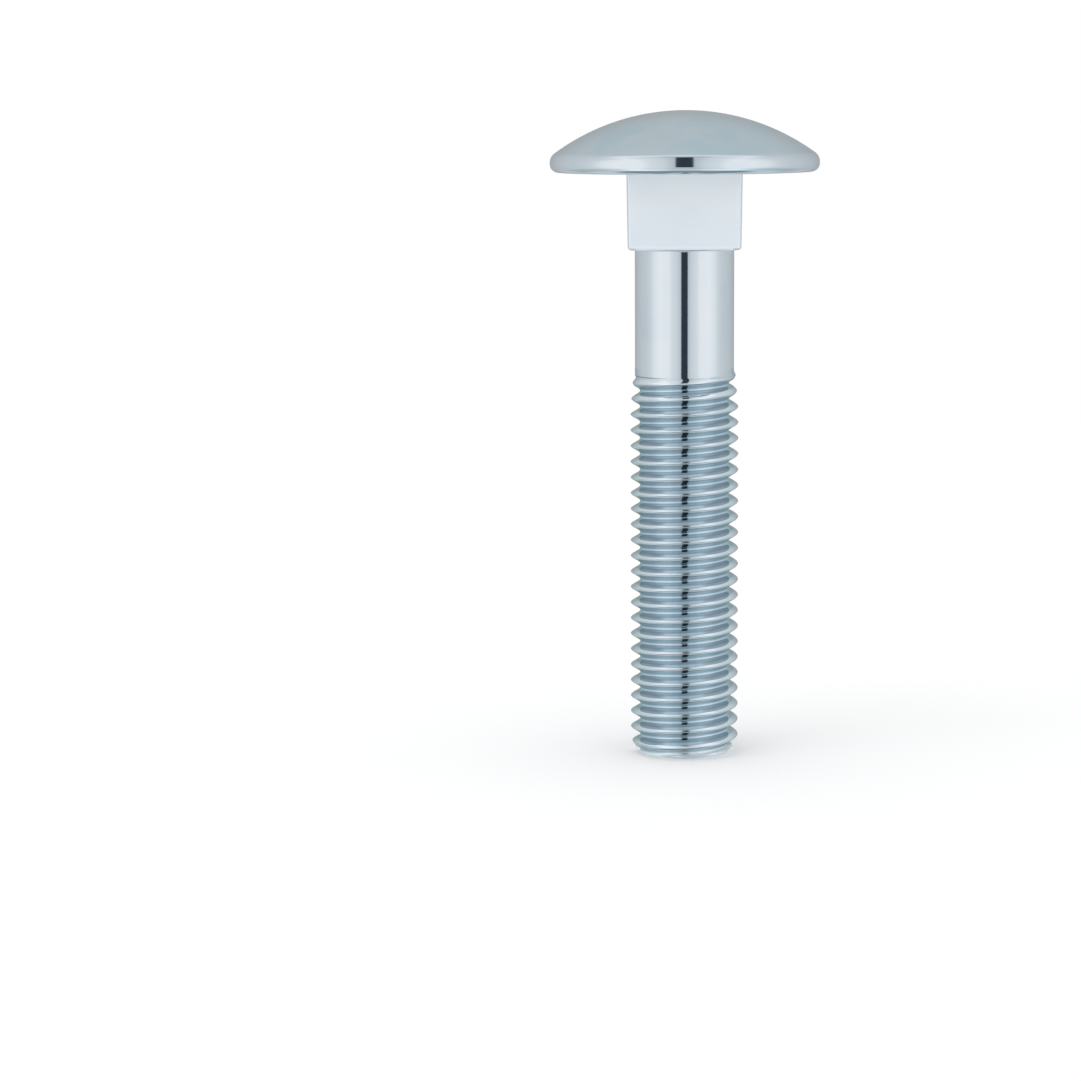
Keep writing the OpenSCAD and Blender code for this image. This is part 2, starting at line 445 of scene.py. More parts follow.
def head_levels(sizes):
    """Rings (surface, r, z) of the head, from the top of the dome to the flat face under the rim."""
    rise = sizes.head_height - sizes.rim_height
    dome = (sizes.head_radius ** 2 + rise ** 2) / (2 * rise)
    dome_z = sizes.head_height - dome
    round_r = sizes.head_radius - sizes.rim_round
    round_z = dome_z + math.sqrt((dome - sizes.rim_round) ** 2 - round_r ** 2)
    slope = math.degrees(math.atan2(round_z - dome_z, round_r))
    under = sizes.under_round
    under_r = sizes.head_radius - under
    levels = [("dome", r, z) for r, z in arc(0, dome_z, dome, 90, slope, DOME_STEPS)[1:]]
    levels += [("rim", r, z) for r, z in arc(round_r, round_z, sizes.rim_round, slope, 0, RIM_STEPS)[1:]]
    levels += [("rim", r, z) for r, z in arc(under_r, under, under, 0, -90, UNDER_STEPS)]
    levels.append(("rim", under_r - FLAT_RING, 0.0))
    return levels


def neck_levels(sizes):
    """Levels (inset, depth) of the neck, from under the head to the inner edge of its lower face."""
    edge = sizes.neck_edge
    depths = (0.0, FLAT_RING, sizes.neck_height / 2, sizes.neck_height - edge - FLAT_RING)
    levels = [(0.0, depth) for depth in depths]
    for r, z in arc(-edge, edge - sizes.neck_height, edge, 0, -90, EDGE_STEPS):
        levels.append((-r, -z))
    levels.append((edge + FOOT_RING, sizes.neck_height))
    return levels


def shank_levels(sizes, thread):
    """Rings (surface, r, z) of the fillet under the neck and of the plain shank."""
    fillet = sizes.neck_fillet
    low = thread.length - sizes.bolt_length
    rings = arc(sizes.shank_radius + fillet, -sizes.neck_height - fillet, fillet, 90, 180, FILLET_STEPS)
    levels = [("neck", *rings[0])] + [("shank", r, z) for r, z in rings[1:]]
    top = rings[-1][1]
    levels += [("shank", sizes.shank_radius, z) for z in (top - FLAT_RING, (low + top) / 2, low)]
    return levels


class Shell:
    """A mesh that grows loop by loop, each joined to the one before."""

    def __init__(self):
        self.bm = bmesh.new()
        self.last = None

    def top(self, z, loop, surface):
        """Starts at a point on the axis."""
        apex = self.bm.verts.new((0, 0, z))
        self.last = [self.bm.verts.new(p) for p in loop]
        for a, b in zip(self.last, self.last[1:] + self.last[:1]):
            self.bm.faces.new((apex, a, b)).material_index = SURFACES.index(surface)

    def down(self, loop, surface):
        """Adds the next loop below or inside the last one."""
        new = [self.bm.verts.new(p) for p in loop]
        count = len(new)
        for i in range(count):
            j = (i + 1) % count
            face = self.bm.faces.new((self.last[i], new[i], new[j], self.last[j]))
            face.material_index = SURFACES.index(surface)
        self.last = new


def close_end(bm, sizes):
    """Closes the flat end inside the thread's first ring."""
    low = -sizes.bolt_length + WELD
    rim = [e for e in bm.edges if e.is_boundary and all(v.co.z < low for v in e.verts)]
    ring = {v for e in rim for v in e.verts}
    centre = bm.verts.new((0, 0, -sizes.bolt_length))
    inner = {v: bm.verts.new((v.co.x * INNER_RING, v.co.y * INNER_RING, v.co.z)) for v in ring}
    for edge in rim:
        a, b = edge.verts
        face = edge.link_faces[0]
        loop = next(l for l in face.loops if l.edge == edge)
        if loop.vert == a:
            a, b = b, a
        for corners in ((a, b, inner[b], inner[a]), (inner[a], inner[b], centre)):
            bm.faces.new(corners).material_index = SURFACES.index("end")


def bolt_mesh(sizes, thread, materials):
    """The whole bolt as one closed mesh."""
    columns = sizes.columns
    shell = Shell()
    levels = head_levels(sizes)
    surface, radius, z = levels[0]
    shell.top(sizes.head_height, circle_loop(radius, z, columns), surface)
    for surface, radius, z in levels[1:]:
        shell.down(circle_loop(radius, z, columns), surface)
    for inset, depth in neck_levels(sizes):
        width = sizes.neck_width - 2 * depth * math.tan(sizes.neck_draft) - 2 * inset
        corner = max(sizes.neck_corner - inset * CORNER_SHRINK, sizes.neck_corner * SMALLEST_CORNER)
        surface = "rim" if depth == 0 else "neck"
        shell.down(neck_loop(width, corner, -depth, columns), surface)
    for surface, radius, z in shank_levels(sizes, thread):
        shell.down(circle_loop(radius, z, columns), surface)
    bm = shell.bm
    wound = thread_mesh(sizes, thread, materials["thread"])
    shell_faces = len(bm.faces)
    bm.from_mesh(wound)
    bpy.data.meshes.remove(wound)
    bm.faces.ensure_lookup_table()
    for face in bm.faces[shell_faces:]:
        face.material_index = SURFACES.index("thread")
    bmesh.ops.remove_doubles(bm, verts=bm.verts, dist=WELD)
    bmesh.ops.dissolve_degenerate(bm, edges=bm.edges, dist=WELD)
    close_end(bm, sizes)
    bmesh.ops.recalc_face_normals(bm, faces=bm.faces)
    open_edges = [e for e in bm.edges if not e.is_manifold]
    if open_edges:
        raise RuntimeError(f"the bolt's mesh has {len(open_edges)} open or shared edges")
    mesh = bpy.data.meshes.new("carriage_bolt")
    bm.to_mesh(mesh)
    bm.free()
    for surface in SURFACES:
        mesh.materials.append(materials[surface])
    mesh.shade_smooth()
    mesh.set_sharp_from_angle(angle=math.radians(SHARP_ANGLE))
    return mesh


# Bright zinc plate, with painted light and shade on the thread, the chamfer and the neck

CLOUD_SCALE = 190.0
CLOUD_LIMITS = (0.38, 0.72)
GRAIN_LIMITS = (0.3, 0.7)
# The grain varies the roughness between these shares of it
GRAIN_GLOSS = (0.9, 1.15)

# Where the thread's zones of painted light and shade, and of roughness, meet, in turns from one crest to
# the next: each border is a pair of places between which one zone fades into the other
CREST_TO_OUTER = (0.05, 0.10)
OUTER_TO_INNER = (0.20, 0.27)
INNER_TO_LOWER = (0.57, 0.63)
LOWER_TO_CREST = (0.85, 0.92)
INNER_TO_CREST = (0.87, 0.94)
RUBBED_TO_OUTER = (0.05, 0.11)
LOWER_TO_RUBBED = (0.89, 0.95)
# The chamfer, a frosted plate partly painted light, ends at these turns of the thread, and nowhere
# above these heights over the flat end
CHAMFER_TURNS = (1.42, 1.52)
CHAMFER_HEIGHTS = (0.65 * MM, 0.95 * MM)
# The die's line, painted dark as its shade, fades out between two places on one side of the bolt
LINE_HALF_WIDTH = 0.1 * MM
LINE_FROM, LINE_TO = -1.5 * MM, -3.5 * MM
LINE_FAINT = 0.15

# The neck's faces end this far inside its sides, and the clean edge of its foot this far above it
FACE_INSET = (0.37 * MM, 0.26 * MM)
FOOT_HEIGHTS = (0.15 * MM, 0.35 * MM)
FOOT_CLEAN = 0.55
BESIDE_SHANK = 0.3 * MM
FROST_CLOUDS = 0.2
CORNER_POLISH = 0.35


def zinc_material(name, shading, roughness, grain, grain_height, stretch=(1.0, 1.0, 1.0), polish=None,
                  metal=None, edge_tint=(1.0, 1.0, 1.0)):
    """Bright zinc plate on steel, with a fine grain.

    The shading gives its colour from the place, with painted light and shade, and from faint clouds, the
    polish multiplies the roughness from place to place, metal gives the share of bare metal gloss where
    that isn't all of it, and the edge tint colours the gloss where it turns away from the eye.
    """
    material = bpy.data.materials.new(f"zinc_{name}")
    material.use_nodes = True
    tree = material.node_tree
    tree.nodes.clear()
    place = add_node(tree, "ShaderNodeTexCoord").outputs["Object"]
    clouds = add_node(tree, "ShaderNodeTexNoise", {
        "Vector": place, "Scale": CLOUD_SCALE, "Detail": 2.0, "Roughness": 0.5})
    colour = shading(tree, place, add_range(tree, clouds.outputs["Fac"], *CLOUD_LIMITS))
    stretched = add_node(tree, "ShaderNodeMapping", {"Vector": place, "Scale": stretch})
    fine = add_node(tree, "ShaderNodeTexNoise", {
        "Vector": stretched.outputs[0], "Scale": grain, "Detail": 3.0, "Roughness": 0.6}).outputs["Fac"]
    gloss = add_range(tree, fine, *GRAIN_LIMITS, *(roughness * share for share in GRAIN_GLOSS))
    if polish:
        gloss = add_math(tree, "MULTIPLY", gloss, polish(tree, place))
    bump = add_node(tree, "ShaderNodeBump", {"Height": fine, "Distance": grain_height, "Strength": 1.0})
    shader = add_node(tree, "ShaderNodeBsdfPrincipled", {
        "Base Color": colour, "Metallic": metal(tree, place) if metal else 1.0, "Roughness": gloss,
        "Normal": bump.outputs[0], "Specular Tint": (*edge_tint, 1.0)})
    add_node(tree, "ShaderNodeOutputMaterial", {"Surface": shader.outputs[0]})
    return material


def mix_colours(tree, share, first, second):
    """Mixes two colours, each a colour or an output."""
    mix = add_node(tree, "ShaderNodeMix", data_type="RGBA")
    link(tree, share, mix.inputs["Factor"])
    for name, colour in (("A", first), ("B", second)):
        link(tree, colour if isinstance(colour, bpy.types.NodeSocket) else (*colour, 1.0), mix.inputs[name])
    return mix.outputs["Result"]


def clouded_shading(clear, clouded):
    """Gives the plate its two shades in faint clouds."""
    def shading(tree, place, cloudy):
        return mix_colours(tree, cloudy, clear, clouded)

    return shading


def thread_turns(tree, place, sizes, thread):
    """Height above the bolt's end, and the turns of thread up to there: whole numbers lie on crests."""
    axes = add_node(tree, "ShaderNodeSeparateXYZ", {0: place}).outputs
    turned = add_math(tree, "DIVIDE", add_math(tree, "ARCTAN2", axes["Y"], axes["X"]), math.tau)
    height = add_math(tree, "ADD", axes["Z"], sizes.bolt_length)
    wound = add_math(tree, "SUBTRACT", add_math(tree, "DIVIDE", height, thread.pitch), turned)
    return height, add_math(tree, "ADD", wound, thread.turn / math.tau)


def thread_phase(tree, place, sizes, thread):
    """Height above the bolt's end, and the place on the thread's form: 0 and 1 at crests, 0.5 at the root."""
    height, turns = thread_turns(tree, place, sizes, thread)
    return height, add_math(tree, "FRACT", turns)


def add_band(tree, value, rise, fall):
    """1 between a rise and a fall, each a pair of places, and 0 outside them."""
    return add_math(tree, "MULTIPLY", add_range(tree, value, *rise), add_range(tree, value, *fall, 1.0, 0.0))


def chamfer_share(tree, place, sizes, thread):
    """1 on the chamfer round the flat end, as far up as the first groove, and 0 elsewhere."""
    height, turns = thread_turns(tree, place, sizes, thread)
    return add_math(tree, "MULTIPLY", add_range(tree, turns, *CHAMFER_TURNS, 1.0, 0.0),
                    add_range(tree, height, *CHAMFER_HEIGHTS, 1.0, 0.0))


def thread_shading(finish, sizes, thread):
    """Painted highlights on crests and upper flanks, over painted shade in the groove and on the lower
    flanks.

    It also draws the level line of the die's edge in painted shade, fading out on one side of the bolt,
    and the chamfer, which is partly a paler frosted plate and partly painted light.
    """
    def shading(tree, place, cloudy):
        height, phase = thread_phase(tree, place, sizes, thread)
        edge = thread.length - thread.groove_start
        grooved = add_range(tree, height, edge - thread.groove_runout, edge, 1.0, 0.0)
        # Where the thread is painted light (crests, upper flanks) and shade (groove, lower flanks)
        bare = add_math(tree, "SUBTRACT", 1.0, add_band(tree, phase, CREST_TO_OUTER, INNER_TO_CREST))
        outer = add_math(tree, "MULTIPLY", add_band(tree, phase, CREST_TO_OUTER, OUTER_TO_INNER), grooved)
        inner = add_math(tree, "MULTIPLY", add_band(tree, phase, OUTER_TO_INNER, INNER_TO_CREST), grooved)
        lower = add_math(tree, "MULTIPLY", add_band(tree, phase, INNER_TO_LOWER, LOWER_TO_CREST), grooved)
        # Painted shade: a thin dark line at the die's edge
        away = add_math(tree, "ABSOLUTE", add_math(tree, "SUBTRACT", height, edge))
        side = add_node(tree, "ShaderNodeSeparateXYZ", {0: place}).outputs["X"]
        line = add_math(tree, "MULTIPLY", add_range(tree, away, 0.0, LINE_HALF_WIDTH, 1.0, 0.0),
                        add_range(tree, side, LINE_TO, LINE_FROM, 1.0, LINE_FAINT))
        # Painted light and shade, mixed over the plate band by band
        plate = mix_colours(tree, cloudy, finish.plate, finish.clouded)
        groove = mix_colours(tree, inner, plate, finish.groove)
        crested = mix_colours(tree, add_math(tree, "MULTIPLY", bare, grooved), groove, finish.crest)
        bright = mix_colours(tree, outer, crested, finish.upper_flank_highlight)
        painted_lower_shade = mix_colours(tree, lower, bright, finish.lower_flank_shade)
        with_die_line_shade = mix_colours(tree, line, painted_lower_shade, finish.die_line_shade)
        # The chamfer's paler frosted plate, painted brighter still as light
        return mix_colours(tree, chamfer_share(tree, place, sizes, thread), with_die_line_shade, finish.chamfer)

    return shading


def thread_polish(finish, sizes, thread):
    """Makes the crests rougher than the flanks, and the chamfer frosted."""
    crest_more = finish.crest_roughness / finish.thread_roughness - 1.0
    chamfer_more = finish.chamfer_roughness / finish.thread_roughness - 1.0

    def polish(tree, place):
        height, phase = thread_phase(tree, place, sizes, thread)
        crest = add_math(tree, "SUBTRACT", 1.0, add_band(tree, phase, RUBBED_TO_OUTER, LOWER_TO_RUBBED))
        first_turn = thread.length - thread.pitch
        grooved = add_range(tree, height, first_turn - thread.pitch, first_turn, 1.0, 0.0)
        rubbed = add_math(tree, "MULTIPLY", add_math(tree, "MULTIPLY", crest, grooved), crest_more)
        frosted = add_math(tree, "MULTIPLY", chamfer_share(tree, place, sizes, thread), chamfer_more)
        return add_math(tree, "ADD", 1.0, add_math(tree, "MAXIMUM", rubbed, frosted))

    return polish


def thread_metal(finish, sizes, thread):
    """Share of bare metal gloss: all of it on the thread, and part of it on the frosted chamfer."""
    def metal(tree, place):
        frosted = add_math(
            tree, "MULTIPLY", chamfer_share(tree, place, sizes, thread), 1.0 - finish.chamfer_metal)
        return add_math(tree, "SUBTRACT", 1.0, frosted)

    return metal


def neck_face(tree, place, sizes):
    """1 on the neck's flat faces, 0 on its upright corners, and about half on the foot's corners."""
    side = sizes.neck_width / 2
    axes = add_node(tree, "ShaderNodeSeparateXYZ", {0: place}).outputs
    x, y = (add_math(tree, "ABSOLUTE", axes[name]) for name in "XY")
    inner = add_math(tree, "MINIMUM", x, y)
    between = add_range(tree, inner, *(side - inset for inset in FACE_INSET), 1.0, 0.0)
    beside_shank = add_range(tree, inner, sizes.shank_radius - BESIDE_SHANK, sizes.shank_radius)
    low, high = (height - sizes.neck_height for height in FOOT_HEIGHTS)
    foot = add_range(tree, axes["Z"], low, high, FOOT_CLEAN, 0.0)
    return add_math(tree, "MULTIPLY", between, add_math(
        tree, "SUBTRACT", 1.0, add_math(tree, "MULTIPLY", beside_shank, foot)))


def frosted_shading(finish, sizes):
    """The frosted plate of the neck's faces in faint clouds, painted lighter under the head and painted
    darker towards the foot as light and shade, and the clean plate of its corners."""
    def shading(tree, place, cloudy):
        height = add_node(tree, "ShaderNodeSeparateXYZ", {0: place}).outputs["Z"]
        # Painted light and shade: lighter under the head, darker towards the foot, with faint clouds
        lower = add_range(tree, height, -sizes.neck_height, 0.0, 1.0 - FROST_CLOUDS, 0.0)
        painted_darker = add_math(tree, "ADD", lower, add_math(tree, "MULTIPLY", cloudy, FROST_CLOUDS))
        frosted = mix_colours(tree, painted_darker, finish.lit_neck_plate, finish.shaded_neck_foot)
        return mix_colours(tree, neck_face(tree, place, sizes), finish.plate, frosted)

    return shading


def corner_polish(sizes):
    """Makes the plate on the neck's upright corners smoother, where it rubs bright."""
    def polish(tree, place):
        face = neck_face(tree, place, sizes)
        return add_math(tree, "ADD", CORNER_POLISH, add_math(tree, "MULTIPLY", face, 1.0 - CORNER_POLISH))

    return polish


def frosted_metal(finish, sizes):
    """Share of bare metal gloss: part of it on the neck's frosted faces, all of it on the corners."""
    def metal(tree, place):
        face = neck_face(tree, place, sizes)
        return add_math(tree, "SUBTRACT", 1.0, add_math(tree, "MULTIPLY", face, 1.0 - finish.neck_metal))

    return metal


def zinc_materials(finish, sizes, thread):
    """One material for each surface of the bolt."""
    plate = clouded_shading(finish.plate, finish.clouded)
    domed = clouded_shading(finish.dome_plate, finish.dome_clouded)
    return {
        "dome": zinc_material("dome", domed, finish.dome_roughness, grain=2200.0, grain_height=0.0004 * MM),
        "rim": zinc_material("rim", plate, finish.rim_roughness, grain=1400.0, grain_height=0.0002 * MM),
        "neck": zinc_material(
            "neck", frosted_shading(finish, sizes), finish.neck_roughness, grain=2600.0,
            grain_height=0.0012 * MM, polish=corner_polish(sizes), metal=frosted_metal(finish, sizes)),
        "shank": zinc_material(
            "shank", plate, finish.shank_roughness, grain=1500.0, grain_height=0.0001 * MM,
            stretch=(1.0, 1.0, 0.08)),
        "thread": zinc_material(
            "thread", thread_shading(finish, sizes, thread), finish.thread_roughness, grain=1800.0,
            grain_height=0.0005 * MM, stretch=(0.3, 0.3, 2.0), polish=thread_polish(finish, sizes, thread),
            metal=thread_metal(finish, sizes, thread), edge_tint=finish.thread_edge),
        "end": zinc_material("end", plate, finish.end_roughness, grain=2000.0, grain_height=0.003 * MM),
    }


# Studio

FLOOR_RADIUS = 30.0
# The floor turns from matt to white between these distances from the bolt
FLOOR_MATT_TO, FLOOR_WHITE_FROM = 0.12, 0.45
# Faces round the floor and the tent
STAGE_SEGMENTS = 96
KEY_PLACE = (-0.45, -0.35, 0.8)
KEY_SIZE = 0.5
SENSOR_WIDTH = 36.0
CLIP_NEAR, CLIP_FAR = 0.01, 100.0


def add_seen(tree):
    """1 for what the camera, gloss or glass sees, and 0 for light on matt surfaces."""
    rays = add_node(tree, "ShaderNodeLightPath").outputs
    seen = add_math(tree, "ADD", rays["Is Camera Ray"], rays["Is Glossy Ray"])
    return add_math(tree, "ADD", seen, rays["Is Transmission Ray"], clamp=True)


def floor_material(settings):
    """Plain pale matt floor, which turns into the white of the room away from the bolt."""
    material = bpy.data.materials.new("studio_floor")
    material.use_nodes = True
    tree = material.node_tree
    tree.nodes.clear()
    place = add_node(tree, "ShaderNodeTexCoord").outputs["Object"]
    away = add_node(tree, "ShaderNodeVectorMath", {0: place}, operation="LENGTH").outputs["Value"]
    far = add_range(tree, away, FLOOR_MATT_TO, FLOOR_WHITE_FROM)
    matt = add_node(tree, "ShaderNodeBsdfDiffuse", {"Color": (*settings.floor_colour, 1.0)})
    white = add_node(tree, "ShaderNodeEmission", {"Color": (1.0, 1.0, 1.0, 1.0), "Strength": 1.0})
    surface = add_node(tree, "ShaderNodeMixShader", {
        0: add_math(tree, "MULTIPLY", far, add_seen(tree)), 1: matt.outputs[0], 2: white.outputs[0]})
    add_node(tree, "ShaderNodeOutputMaterial", {"Surface": surface.outputs[0]})
    return material


def add_floor(settings, z):
    """A large round floor under the bolt's end."""
    mesh = bpy.data.meshes.new("studio_floor")
    bm = bmesh.new()
    bmesh.ops.create_circle(bm, cap_ends=True, segments=STAGE_SEGMENTS, radius=FLOOR_RADIUS)
    bm.to_mesh(mesh)
    bm.free()
    mesh.materials.append(floor_material(settings))
    floor = bpy.data.objects.new("studio_floor", mesh)
    floor.location.z = z
    bpy.context.scene.collection.objects.link(floor)
    floor.visible_glossy = False


TENT_RADIUS = 1.6
# Share of the tent's light by the angle from the camera's side, in degrees: a bright front
# and a greyer back
TENT_FRONT_TO_BACK = (
    (0, 0.98), (40, 0.98), (60, 1.0), (75, 0.90), (84, 0.77), (93, 0.70), (104, 0.66), (120, 0.62),
    (140, 0.54), (160, 0.42), (180, 0.36))
# The same high up, where the light reaches back over the top
TENT_OVER_TOP = (
    (0, 1.0), (60, 1.0), (96, 0.96), (103, 0.64), (120, 0.60), (140, 0.57), (160, 0.51), (180, 0.46))
# High up starts between two heights, and ends between two angles to the side, in degrees
OVER_TOP_FROM, OVER_TOP_TO = 20, 50
OVER_TOP_WIDE, OVER_TOP_END = 30, 45
# Share of the light by the sideways angle from the camera's plane: softer next to the dark gap
TENT_BESIDE_GAP = ((0, 0.58), (8, 0.60), (16, 0.75), (28, 0.84), (36, 0.98), (90, 1.0))
# Share of the light by the height of the direction, in degrees: darker straight down and straight up
TENT_BY_HEIGHT = (
    (-90, 0.58), (-61, 0.60), (-56, 1.25), (-46, 1.3), (-38, 1.0), (-25, 0.97), (-15, 1.0),
    (60, 1.0), (75, 0.97), (90, 0.95))
# The tent's front and back halves fade into each other over this share of its radius
HALVES_SOFT = 0.1
# Light turns low between these heights, and less of it comes from beside and behind the bolt
LOW_FROM, LOW_TO = -45, -20
LOW_SIDE_FROM, LOW_SIDE_TO, LOW_SIDE = 50, 75, 0.72
# A pale card low down behind the bolt adds this share of light, and ends softly between places
# behind, below and beside the bolt, as shares of the tent's radius
LOW_CARD = 0.28
CARD_BEHIND, CARD_BELOW, CARD_BESIDE = (0.1, 0.4), (-0.5, -0.25), (0.4, 0.6)
# The low light is bluish, and so are the light of the sides and back, the light next to the gap,
# and the dark gap itself
LOW_TINT = (0.88, 1.0, 1.06)
SIDE_TINT = (0.975, 1.02, 1.05)
SIDE_FROM, SIDE_TO = 65, 95
BESIDE_FROM, BESIDE_TO = 10, 40
GAP_TINT = (0.72, 1.0, 1.3)
# The dark gap between the softboxes, through which the camera looks, in degrees
GAP_HALF_WIDTH = 7.5
GAP_LOW, GAP_HIGH = -14, 76
GAP_LEVEL = 0.045
GAP_SOFT = 0.008


def tent_material(settings):
    """Light of the tent, by direction from the bolt."""
    material = bpy.data.materials.new("studio_tent")
    material.use_nodes = True
    tree = material.node_tree
    tree.nodes.clear()
    place = add_node(tree, "ShaderNodeTexCoord").outputs["Object"]
    direction = add_node(tree, "ShaderNodeVectorMath", {0: place}, operation="NORMALIZE").outputs[0]
    axes = add_node(tree, "ShaderNodeSeparateXYZ", {0: direction}).outputs
    to_camera = add_math(tree, "MULTIPLY", axes["Y"], -1.0)
    from_front = add_math(tree, "ARCCOSINE", to_camera)
    sideways = add_math(tree, "ABSOLUTE", axes["X"])
    beside = add_math(tree, "ARCSINE", sideways)
    turned = add_math(tree, "ARCTAN2", sideways, to_camera)
    raised = add_math(tree, "ARCSINE", axes["Z"])
    in_front = add_range(tree, axes["Y"], -HALVES_SOFT, HALVES_SOFT, 1.0, 0.0)

    high_up = add_math(
        tree, "MULTIPLY", add_range(tree, raised, *map(math.radians, (OVER_TOP_FROM, OVER_TOP_TO))),
        add_range(tree, beside, *map(math.radians, (OVER_TOP_WIDE, OVER_TOP_END)), 1.0, 0.0))
    around = mix_colours(tree, high_up, add_angle_ramp(tree, from_front, TENT_FRONT_TO_BACK),
                         add_angle_ramp(tree, from_front, TENT_OVER_TOP))
    darker = add_math(tree, "SUBTRACT", 1.0, add_angle_ramp(tree, beside, TENT_BESIDE_GAP, high=90))
    softer = add_math(tree, "SUBTRACT", 1.0, add_math(tree, "MULTIPLY", darker, in_front))
    by_height = add_angle_ramp(tree, raised, TENT_BY_HEIGHT, low=-90, high=90)
    level = add_math(tree, "MULTIPLY", add_math(tree, "MULTIPLY", around, softer), by_height)

    below = add_range(tree, raised, *map(math.radians, (LOW_FROM, LOW_TO)), 1.0, 0.0)
    shaded = add_range(tree, turned, *map(math.radians, (LOW_SIDE_FROM, LOW_SIDE_TO)), 0.0, 1.0 - LOW_SIDE)
    unshaded = add_math(tree, "SUBTRACT", 1.0, add_math(tree, "MULTIPLY", shaded, below))
    card = add_math(
        tree, "MULTIPLY", add_range(tree, axes["Y"], *CARD_BEHIND),
        add_math(tree, "MULTIPLY", add_range(tree, axes["Z"], *CARD_BELOW, 1.0, 0.0),
                 add_range(tree, sideways, *CARD_BESIDE, 1.0, 0.0)))
    carded = add_math(tree, "ADD", 1.0, add_math(tree, "MULTIPLY", card, LOW_CARD))
    level = add_math(tree, "MULTIPLY", add_math(tree, "MULTIPLY", level, unshaded), carded)

    width, low, high = (math.sin(math.radians(angle)) for angle in (GAP_HALF_WIDTH, GAP_LOW, GAP_HIGH))
    # The gap narrows with height, so that it looks as wide all the way up a rounded edge
    narrowed = add_math(tree, "DIVIDE", add_math(tree, "ADD", add_math(tree, "COSINE", raised), 1.0), 2.0)
    spread = add_math(tree, "DIVIDE", sideways, narrowed)
    within = add_range(tree, spread, width - GAP_SOFT, width + GAP_SOFT, 1.0, 0.0)
    above = add_range(tree, axes["Z"], low - GAP_SOFT, low + GAP_SOFT)
    under = add_range(tree, axes["Z"], high - GAP_SOFT, high + GAP_SOFT, 1.0, 0.0)
    gap = in_front
    for limit in (within, above, under):
        gap = add_math(tree, "MULTIPLY", gap, limit)
    seen = add_node(tree, "ShaderNodeMix", data_type="FLOAT")
    link(tree, gap, seen.inputs["Factor"])
    link(tree, level, seen.inputs["A"])
    link(tree, GAP_LEVEL, seen.inputs["B"])
    strength = add_math(tree, "MULTIPLY", seen.outputs["Result"], settings.tent_light)
    next_to_gap = add_math(
        tree, "MULTIPLY", in_front,
        add_range(tree, beside, *map(math.radians, (BESIDE_FROM, BESIDE_TO)), 1.0, 0.0))
    aside = add_math(
        tree, "MAXIMUM", next_to_gap,
        add_range(tree, from_front, *map(math.radians, (SIDE_FROM, SIDE_TO))))
    tinted = mix_colours(tree, below, mix_colours(tree, aside, (1.0, 1.0, 1.0), SIDE_TINT), LOW_TINT)
    colour = mix_colours(tree, gap, tinted, GAP_TINT)
    light = add_node(tree, "ShaderNodeEmission", {"Color": colour, "Strength": strength})
    add_node(tree, "ShaderNodeOutputMaterial", {"Surface": light.outputs[0]})
    return material


def add_tent(settings, centre_z):
    """The tent that the plate reflects. It lights nothing matt and casts no shadow."""
    mesh = bpy.data.meshes.new("studio_tent")
    bm = bmesh.new()
    bmesh.ops.create_uvsphere(
        bm, u_segments=STAGE_SEGMENTS, v_segments=STAGE_SEGMENTS // 2, radius=TENT_RADIUS)
    bmesh.ops.reverse_faces(bm, faces=bm.faces)
    bm.to_mesh(mesh)
    bm.free()
    mesh.materials.append(tent_material(settings))
    tent = bpy.data.objects.new("studio_tent", mesh)
    tent.location.z = centre_z
    bpy.context.scene.collection.objects.link(tent)
    tent.visible_camera = False
    tent.visible_diffuse = False
    tent.visible_shadow = False


def set_room(settings):
    """White room: full white where the camera, gloss or glass sees it, and softer on matt surfaces."""
    world = bpy.data.worlds.new("studio_room")
    bpy.context.scene.world = world
    world.use_nodes = True
    tree = world.node_tree
    tree.nodes.clear()
    level = add_range(tree, add_seen(tree), 0.0, 1.0, settings.sky_light, 1.0, smooth=False)
    room = add_node(tree, "ShaderNodeBackground", {"Color": (1.0, 1.0, 1.0, 1.0), "Strength": level})
    add_node(tree, "ShaderNodeOutputWorld", {"Surface": room.outputs[0]})


def add_key(settings, target):
    """One large soft lamp above, on the left, which gives the floor its shadow."""
    lamp = bpy.data.lights.new("studio_key", "AREA")
    lamp.shape = "RECTANGLE"
    lamp.size, lamp.size_y = KEY_SIZE, KEY_SIZE
    lamp.energy = settings.key_power
    key = bpy.data.objects.new("studio_key", lamp)
    key.location = KEY_PLACE
    key.rotation_euler = (target - key.location).to_track_quat("-Z", "Y").to_euler()
    key.visible_camera = False
    key.visible_glossy = False
    bpy.context.scene.collection.objects.link(key)


def add_camera(settings):
    """The camera, placed and turned as in the photograph."""
    data = bpy.data.cameras.new("studio_camera")
    data.lens = settings.lens
    data.sensor_width = SENSOR_WIDTH
    data.clip_start, data.clip_end = CLIP_NEAR, CLIP_FAR
    camera = bpy.data.objects.new("studio_camera", data)
    camera.location = (0.0, -settings.camera_distance, settings.camera_height)
    aim = Euler((math.pi / 2 - settings.camera_pitch, 0.0, settings.camera_yaw), "XYZ").to_matrix()
    roll = Euler((0.0, 0.0, settings.camera_roll), "XYZ").to_matrix()
    camera.rotation_euler = (aim @ roll).to_euler()
    bpy.context.scene.collection.objects.link(camera)
    bpy.context.scene.camera = camera


# Operators and panel

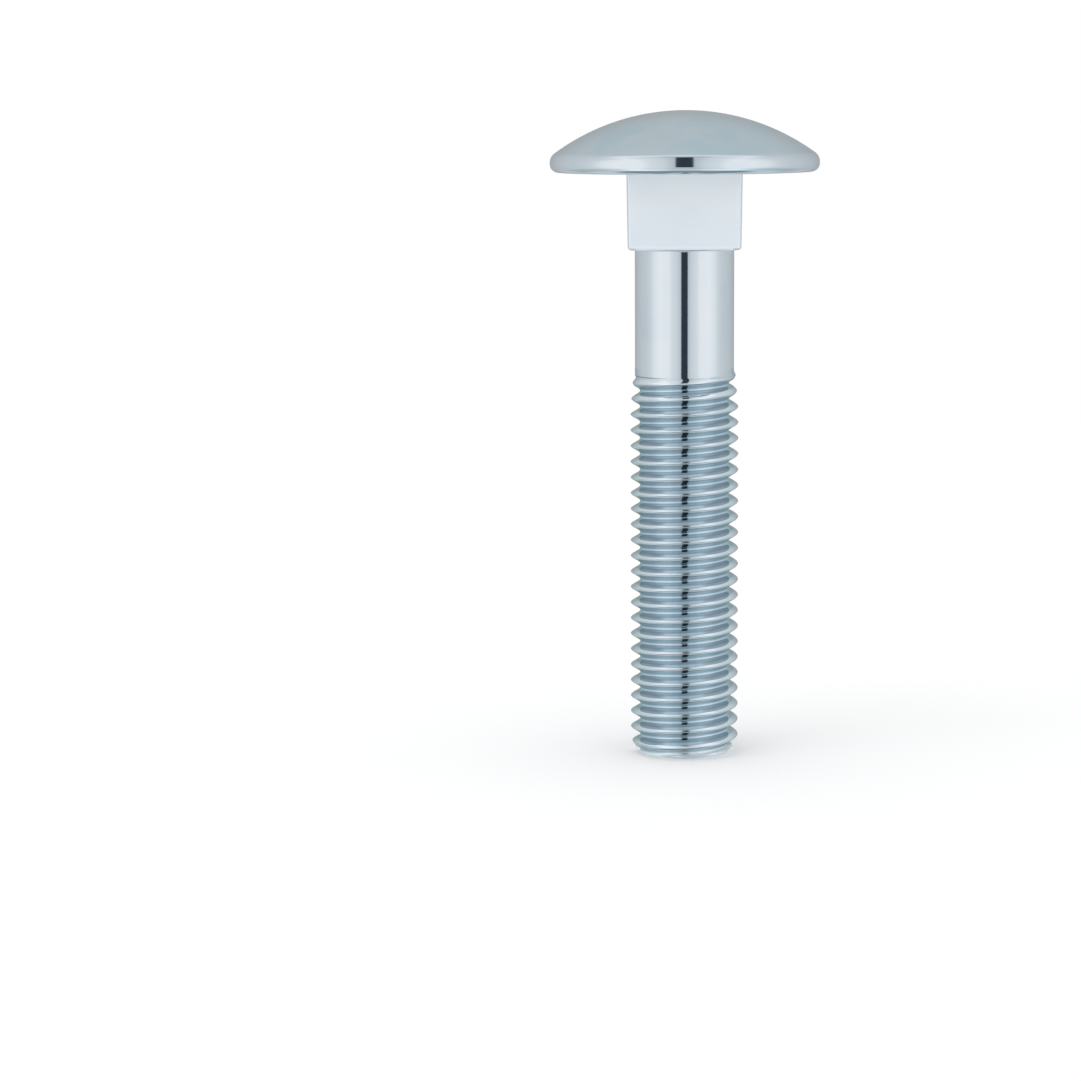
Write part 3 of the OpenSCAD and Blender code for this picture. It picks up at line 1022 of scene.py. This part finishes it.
class CARRIAGE_BOLT_OT_make_bolt(bpy.types.Operator):
    """Build the bolt with its rolled thread and its zinc finish"""
    bl_idname = "carriage_bolt.make_bolt"
    bl_label = "Make bolt"

    def execute(self, context):
        scene = context.scene
        materials = zinc_materials(scene.bolt_finish, scene.bolt_sizes, scene.bolt_thread)
        mesh = bolt_mesh(scene.bolt_sizes, scene.bolt_thread, materials)
        piece = bpy.data.objects.new("carriage_bolt", mesh)
        scene.collection.objects.link(piece)
        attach(piece, BODY)
        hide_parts(NODE)
        return {"FINISHED"}


class CARRIAGE_BOLT_OT_set_studio(bpy.types.Operator):
    """Set the floor, the lights, the room and the camera"""
    bl_idname = "carriage_bolt.set_studio"
    bl_label = "Set studio"

    def execute(self, context):
        scene = context.scene
        settings = scene.bolt_studio
        length = scene.bolt_sizes.bolt_length
        add_floor(settings, -length)
        add_tent(settings, -length / 2)
        set_room(settings)
        add_key(settings, Vector((0.0, 0.0, -length / 2)))
        add_camera(settings)
        scene.view_settings.view_transform = "Standard"
        return {"FINISHED"}


class CARRIAGE_BOLT_PT_panel(bpy.types.Panel):
    """Sizes, finish and studio of the carriage bolt"""
    bl_idname = "CARRIAGE_BOLT_PT_panel"
    bl_label = "Carriage bolt"
    bl_space_type = "VIEW_3D"
    bl_region_type = "UI"
    bl_category = "Bolt"

    def draw(self, context):
        scene = context.scene
        layout = self.layout
        for group in (scene.bolt_sizes, scene.bolt_thread, scene.bolt_finish, scene.bolt_studio):
            box = layout.box()
            for name in group.bl_rna.properties.keys():
                if name not in ("rna_type", "name"):
                    box.prop(group, name)
        layout.operator(CARRIAGE_BOLT_OT_make_bolt.bl_idname)
        layout.operator(CARRIAGE_BOLT_OT_set_studio.bl_idname)


GROUPS = {
    "bolt_sizes": BoltSizes,
    "bolt_thread": ThreadSizes,
    "bolt_finish": ZincFinish,
    "bolt_studio": StudioSettings,
}
CLASSES = (*GROUPS.values(), CARRIAGE_BOLT_OT_make_bolt, CARRIAGE_BOLT_OT_set_studio, CARRIAGE_BOLT_PT_panel)


def register():
    for cls in CLASSES:
        bpy.utils.register_class(cls)
    for name, group in GROUPS.items():
        setattr(bpy.types.Scene, name, PointerProperty(type=group))


def unregister():
    for name in GROUPS:
        delattr(bpy.types.Scene, name)
    for cls in reversed(CLASSES):
        bpy.utils.unregister_class(cls)


def main():
    register()
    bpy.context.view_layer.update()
    bpy.ops.carriage_bolt.make_bolt()
    bpy.ops.carriage_bolt.set_studio()


if __name__ == "__main__":
    main()
